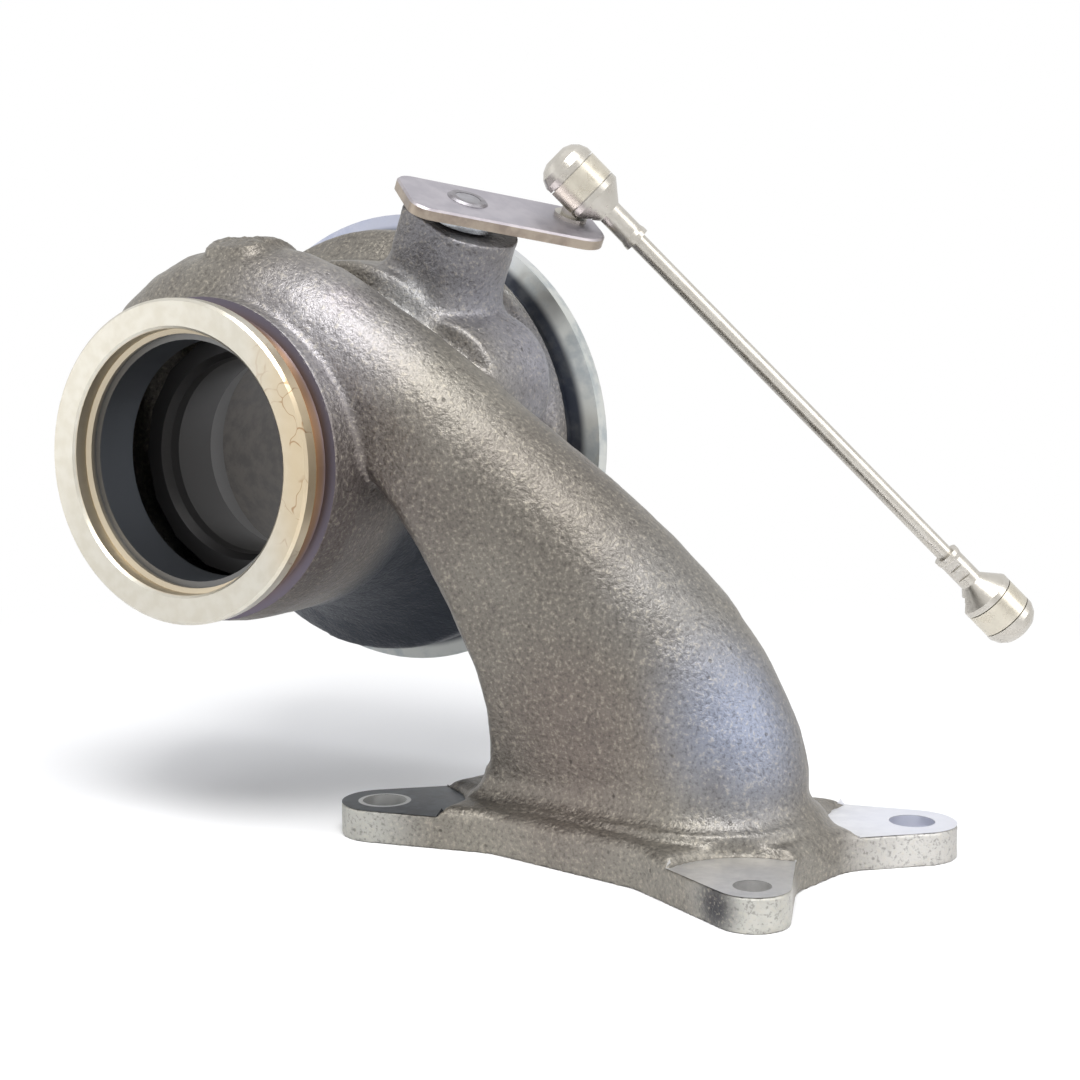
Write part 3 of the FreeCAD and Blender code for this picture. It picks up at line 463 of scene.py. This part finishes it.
def in_rings(points, margin):
    """Points on the turned faces: near ring, bore, far ring and mouth."""
    radius = radius_of(points)
    y = points[:, 1]
    near = (y < NECK_START_Y + margin) & (radius < NECK_R + MM)
    bore = (radius < BORE_R + margin) & (y < OUTLET_FLOOR_Y + margin)
    ring = (y > SHOULDER_Y - margin) & (radius < FAR_REACH)
    mouth = (y > MOUTH_Y - margin) & (radius < MOUTH_R + margin)
    return near | bore | ring | mouth


def beside_shaft(points):
    """Height along the wastegate shaft and distance from it."""
    axis = np.array(SHAFT["axis"])
    away = points - np.array(SHAFT["pos_m"])
    height = away @ axis
    return height, np.linalg.norm(away - np.outer(height, axis), axis=1)


def applied(obj):
    """Replaces an object's mesh by the result of its modifiers."""
    graph = bpy.context.evaluated_depsgraph_get()
    mesh = bpy.data.meshes.new_from_object(obj.evaluated_get(graph))
    obj.modifiers.clear()
    obj.data = mesh
    return mesh


def without_faces(mesh, drop):
    """Deletes the polygons whose middle the test marks."""
    centres = np.empty(len(mesh.polygons) * 3)
    mesh.polygons.foreach_get("center", centres)
    mark = drop(centres.reshape(-1, 3))
    work = bmesh.new()
    work.from_mesh(mesh)
    work.faces.ensure_lookup_table()
    doomed = [work.faces[i] for i in np.nonzero(mark)[0]]
    bmesh.ops.delete(work, geom=doomed, context="FACES")
    work.to_mesh(mesh)
    work.free()


def split_across(mesh, places):
    """Cuts edges into the mesh where the turned faces start."""
    work = bmesh.new()
    work.from_mesh(mesh)
    for y in places:
        everything = work.verts[:] + work.edges[:] + work.faces[:]
        bmesh.ops.bisect_plane(work, geom=everything, plane_co=(0, y, 0), plane_no=(0, 1, 0))
    work.to_mesh(mesh)
    work.free()


def grouped(obj, name, mark):
    group = obj.vertex_groups.new(name=name)
    group.add([int(i) for i in np.nonzero(mark)[0]], 1.0, "REPLACE")
    return name


def smoothed(obj, group, times):
    blend = obj.modifiers.new(group, "SMOOTH")
    blend.factor = 0.5
    blend.iterations = times
    blend.vertex_group = group


def bedded(mesh):
    """Fills the narrow gap between the duct's foot and the flange below it."""
    work = bmesh.new()
    work.from_mesh(mesh)
    under = [f for f in work.faces if f.normal.z < -0.9
             and FLANGE_TOP < f.calc_center_median().z < FLANGE_TOP + FOOT_GAP]
    copy = bmesh.ops.duplicate(work, geom=under)["geom"]
    tops = [f for f in copy if isinstance(f, bmesh.types.BMFace)]
    made = bmesh.ops.extrude_face_region(work, geom=tops, use_keep_orig=True)["geom"]
    low = [v for v in made if isinstance(v, bmesh.types.BMVert)]
    high = list({v for f in tops for v in f.verts})
    bmesh.ops.translate(work, verts=low, vec=(0, 0, -FOOT_GAP - BED_OVERLAP))
    bmesh.ops.translate(work, verts=high, vec=(0, 0, BED_OVERLAP))
    bmesh.ops.reverse_faces(work, faces=tops)
    work.to_mesh(mesh)
    work.free()


def cast_skin(source):
    """The cast faces as one skin, with soft blends, and flat where the part is machined."""
    skin = bpy.data.objects.new("cast_skin", source.data.copy())
    bedded(skin.data)
    bpy.context.scene.collection.objects.link(skin)
    remesh = skin.modifiers.new("skin", "REMESH")
    remesh.mode = "VOXEL"
    remesh.voxel_size = SKIN_VOXEL
    mesh = applied(skin)
    split_across(mesh, (NECK_START_Y, MOUTH_Y, SHOULDER_Y))
    without_faces(mesh, lambda c: in_rings(c, 0.0))
    points = mesh_points(mesh)
    height, distance = beside_shaft(points)
    boss_top = (distance < BOSS_R) & (height > -BOSS_TOP_DEPTH)
    hard = in_rings(points, RING_MARGIN) | (points[:, 2] < BASE_TOP) | boss_top
    hard |= in_lug(points, LUG_MARGIN, LUG_TOP + 0.2 * MM)
    outlet = (points[:, 1] > OUTLET_BLEND_Y) & (distance > SHAFT_ROOM_R)
    foot = (distance < BOSS_FOOT_R) & (height > -BOSS_FOOT_END)
    blend = ~hard & (outlet | foot) & (height < -BOSS_FOOT_START)
    flat = skin.modifiers.new("flat", "SHRINKWRAP")
    flat.target = source
    flat.vertex_group = grouped(skin, "hard", hard)
    smoothed(skin, grouped(skin, "soft", ~hard), SKIN_SMOOTH)
    smoothed(skin, grouped(skin, "blend", blend), BLEND_SMOOTH)
    lumps = bpy.data.textures.new("lumps", "CLOUDS")
    lumps.noise_scale = LUMP_SIZE
    lumps.noise_depth = 3
    push = skin.modifiers.new("lumps", "DISPLACE")
    push.texture = lumps
    push.texture_coords = "LOCAL"
    push.strength = LUMP_DEPTH
    push.mid_level = LUMP_MIDDLE
    push.vertex_group = "soft"
    crags = bpy.data.textures.new("crags", "CLOUDS")
    crags.noise_scale = PAD_GRAIN
    pad = np.linalg.norm(points - np.array(PAD_PLACE), axis=1) < PAD_REACH
    rough = skin.modifiers.new("crags", "DISPLACE")
    rough.texture = crags
    rough.texture_coords = "LOCAL"
    rough.strength = PAD_DEPTH
    rough.mid_level = 0.5
    rough.vertex_group = grouped(skin, "pad", pad & (points[:, 2] > PAD_LOW))
    mesh = applied(skin)
    for polygon in mesh.polygons:
        polygon.use_smooth = True
    return skin


def shaded(obj, angle=32):
    """Smooth shading with sharp edges kept above an angle."""
    for polygon in obj.data.polygons:
        polygon.use_smooth = True
    obj.data.set_sharp_from_angle(angle=math.radians(angle))
    return obj


def crisp_faces(source, name, keep, lift):
    """Copy of the part's own machined faces: those with every corner where the test says."""
    mesh = source.data.copy()
    obj = bpy.data.objects.new(name, mesh)
    bpy.context.scene.collection.objects.link(obj)
    inside = keep(mesh_points(mesh))
    work = bmesh.new()
    work.from_mesh(mesh)
    work.verts.ensure_lookup_table()
    doomed = [f for f in work.faces if not all(inside[v.index] for v in f.verts)]
    bmesh.ops.delete(work, geom=doomed, context="FACES")
    work.to_mesh(mesh)
    work.free()
    for vertex in mesh.vertices:
        vertex.co += vertex.normal * lift
    return shaded(obj)


def exit_sleeve():
    """Tube that carries the wheel's exit into the outlet, seen through the near ring."""
    mesh = bpy.data.meshes.new("exit_sleeve")
    obj = bpy.data.objects.new("exit_sleeve", mesh)
    bpy.context.scene.collection.objects.link(obj)
    work = bmesh.new()
    rings = []
    for station, radius in SLEEVE_PROFILE:
        ring = []
        for k in range(SLEEVE_SIDES):
            a = 2 * math.pi * k / SLEEVE_SIDES
            ring.append(work.verts.new((AXIS_X + radius * MM * math.cos(a),
                                        NEAR_FACE_Y + station * MM,
                                        AXIS_Z + radius * MM * math.sin(a))))
        rings.append(ring)
    for here, there in zip(rings, rings[1:] + rings[:1]):
        for k in range(SLEEVE_SIDES):
            after = (k + 1) % SLEEVE_SIDES
            work.faces.new((here[k], here[after], there[after], there[k]))
    bmesh.ops.recalc_face_normals(work, faces=work.faces)
    work.to_mesh(mesh)
    work.free()
    return shaded(obj)


def painted(obj, material, body):
    obj.data.materials.clear()
    obj.data.materials.append(material)
    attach(obj, body)
    return obj


# Studio


def camera():
    data = bpy.data.cameras.new("camera")
    data.lens = CAMERA_LENS
    data.sensor_width = 36
    data.clip_start = 0.01
    obj = bpy.data.objects.new("camera", data)
    obj.location = CAMERA_PLACE
    obj.rotation_euler = (math.radians(90 - CAMERA_ELEVATION), 0, math.radians(CAMERA_AZIMUTH))
    bpy.context.scene.collection.objects.link(obj)
    bpy.context.scene.camera = obj


def lamp(name, place, target, size, power, colour=(1, 1, 1)):
    data = bpy.data.lights.new(name, "AREA")
    data.size = size
    data.energy = power
    data.color = colour
    obj = bpy.data.objects.new(name, data)
    obj.location = place
    aim = Vector(target) - Vector(place)
    obj.rotation_euler = aim.to_track_quat("-Z", "Y").to_euler()
    bpy.context.scene.collection.objects.link(obj)


def seen_by_eye(tree):
    """1 for rays of the camera and for those that a mirror or glass sends on."""
    path = tree.nodes.new("ShaderNodeLightPath")
    seen = path.outputs["Is Camera Ray"]
    for kind in ("Is Glossy Ray", "Is Transmission Ray"):
        either = tree.nodes.new("ShaderNodeMath")
        either.operation = "MAXIMUM"
        tree.links.new(seen, either.inputs[0])
        tree.links.new(path.outputs[kind], either.inputs[1])
        seen = either.outputs[0]
    return seen


def world():
    """White where it is seen or mirrored, and a soft grey room for light."""
    made = bpy.data.worlds.new("studio")
    made.use_nodes = True
    tree = made.node_tree
    tree.nodes.clear()
    place = tree.nodes.new("ShaderNodeTexCoord")
    split = tree.nodes.new("ShaderNodeSeparateXYZ")
    rise = tree.nodes.new("ShaderNodeMapRange")
    room = tree.nodes.new("ShaderNodeBackground")
    white = tree.nodes.new("ShaderNodeBackground")
    choose = tree.nodes.new("ShaderNodeMixShader")
    out = tree.nodes.new("ShaderNodeOutputWorld")
    ramp = tree.nodes.new("ShaderNodeMix")
    ramp.data_type = "RGBA"
    ramp.inputs[6].default_value = (*ROOM_LOW, 1)
    ramp.inputs[7].default_value = (*ROOM_HIGH, 1)
    rise.inputs["From Min"].default_value = -0.3
    rise.inputs["From Max"].default_value = 0.9
    tree.links.new(place.outputs["Generated"], split.inputs[0])
    tree.links.new(split.outputs["Z"], rise.inputs["Value"])
    tree.links.new(rise.outputs[0], ramp.inputs["Factor"])
    tree.links.new(ramp.outputs[2], room.inputs["Color"])
    tree.links.new(seen_by_eye(tree), choose.inputs[0])
    tree.links.new(room.outputs[0], choose.inputs[1])
    tree.links.new(white.outputs[0], choose.inputs[2])
    tree.links.new(choose.outputs[0], out.inputs[0])
    white.inputs["Color"].default_value = (1, 1, 1, 1)
    bpy.context.scene.world = made


def floor():
    """White paper that takes the shadow near the object and is pure white further off."""
    mesh = bpy.data.meshes.new("floor")
    reach = FLOOR_REACH
    corners = [(-reach, -reach, 0), (reach, -reach, 0), (reach, reach, 0), (-reach, reach, 0)]
    mesh.from_pydata(corners, [], [(0, 1, 2, 3)])
    obj = bpy.data.objects.new("floor", mesh)
    bpy.context.scene.collection.objects.link(obj)
    n = Nodes("floor_paper")
    paper = n.noise(30, 2, 0.5)
    colour = n.mix(paper, grey(0.93), grey(0.95))
    n.surface(colour, 0.0, 0.9)
    away = n.math("SUBTRACT", 1.0, n.near(FLOOR_MIDDLE, FLOOR_FADE))
    share = n.math("MULTIPLY", away, seen_by_eye(n.tree))
    white = n.add("ShaderNodeEmission")
    both = n.add("ShaderNodeMixShader")
    n.link(share, both.inputs[0])
    n.link(n.shader.outputs[0], both.inputs[1])
    n.link(white.outputs[0], both.inputs[2])
    n.link(both.outputs[0], n.tree.nodes["Material Output"].inputs["Surface"])
    mesh.materials.append(n.material)


housing = frame["nodes"]["turbine_housing"]
skin = painted(cast_skin(housing), cast_material(), "housing")
painted(
    crisp_faces(housing, "near_ring_faces",
                lambda c: in_rings(c, SEAM) & (c[:, 1] < OUTLET_FLOOR_Y + SEAM), 0),
    ring_material(), "housing")
painted(
    crisp_faces(housing, "far_ring_faces",
                lambda c: in_rings(c, SEAM) & (c[:, 1] > MOUTH_Y - MM), 0),
    far_ring_material(), "housing")
painted(
    crisp_faces(housing, "lug_faces", milled, CRISP_LIFT),
    lug_material(), "housing")
painted(
    exit_sleeve(), metal("sleeve_cast", (104, 100, 96), (72, 69, 67), 0.5, depth=0.1, metallic=0.7),
    "housing")
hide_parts("turbine_housing")

plated = metal("satin_nickel", (194, 190, 182), (186, 181, 172), 0.3, scale=260, depth=0.002)
band = metal("satin_band", (204, 198, 184), (196, 189, 174), 0.28, scale=260, depth=0.002)
bright = metal("bright_steel", (214, 218, 222), (186, 190, 194), 0.22)
shaft = metal("shaft_steel", (164, 163, 168), (140, 138, 142), 0.38)
dark_steel = metal("dark_steel", (110, 106, 104), (84, 80, 78), 0.42)
spring = metal("spring_steel", (150, 150, 152), (120, 120, 122), 0.35)
weld = metal("weld_bead", (150, 148, 152), (126, 122, 126), 0.45, scale=400, depth=0.12)
lever = lever_material()
MATERIALS = {
    "plated_steel": plated, "band_steel": band, "bright_steel": bright, "bushing": dark_steel,
    "shaft_steel": shaft, "valve_alloy": dark_steel, "seat_steel": spring,
    "spring_steel": spring, "weld": weld, "lever_steel": lever,
}
for part in frame["record"]["subparts"]:
    node = frame["nodes"][part["node"]]
    if part["node"] != "turbine_housing":
        node.data.materials.clear()
        node.data.materials.append(MATERIALS[part["material_slot"]])
        shaded(node)

bpy.context.scene.view_settings.view_transform = "Standard"
camera()
world()
floor()
lamp("key", (0.15, -0.35, 0.80), (-0.04, 0, 0.07), 0.45, 6.2)
lamp("side", (0.75, 0.05, 0.45), (0.0, 0, 0.07), 0.5, 2.2)
lamp("left", (-0.75, -0.45, 0.25), (-0.08, 0, 0.08), 0.5, 0.8)
